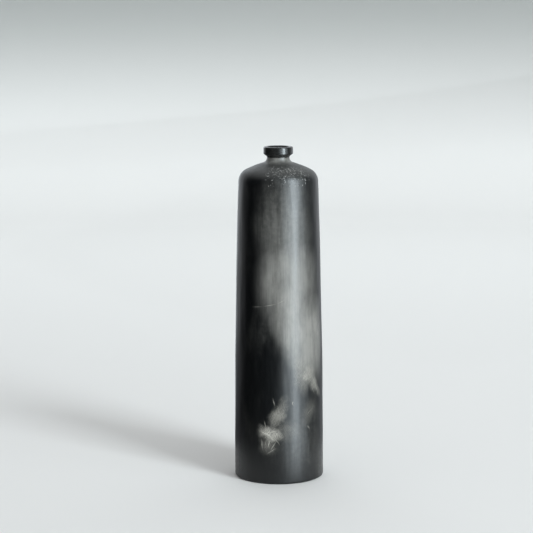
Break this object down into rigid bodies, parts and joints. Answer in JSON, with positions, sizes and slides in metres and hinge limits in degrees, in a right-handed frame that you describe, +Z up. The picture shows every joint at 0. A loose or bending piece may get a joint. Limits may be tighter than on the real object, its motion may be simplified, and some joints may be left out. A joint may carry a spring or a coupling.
{
  "type": "black clay bottle pot",
  "caption": "Tall hand-built bottle-shaped pot of burnished black clay, with a gently bowed body, a rounded shoulder, a short pinched neck and a flared lip.",
  "frame": {"origin": "on the pot's axis, in the plane of its flat foot", "axes": "+Z up along the pot's axis from the foot to the rim; the pot is round, and the burn mark and smoke cloud that face a viewer are on its -Y side"},
  "size_m": [0.1072, 0.1072, 0.4],
  "materials": {
    "burnished_clay": "satin",
    "smoked_clay": "matte"
  },
  "bodies": {
    "root": {"base_pan": "smoked_clay", "lower_wall": "burnished_clay", "middle_wall": "burnished_clay", "upper_wall": "burnished_clay", "shoulder_dome": "burnished_clay", "neck_collar": "burnished_clay", "lip_ring": "burnished_clay"}
  },
  "joints": []
}
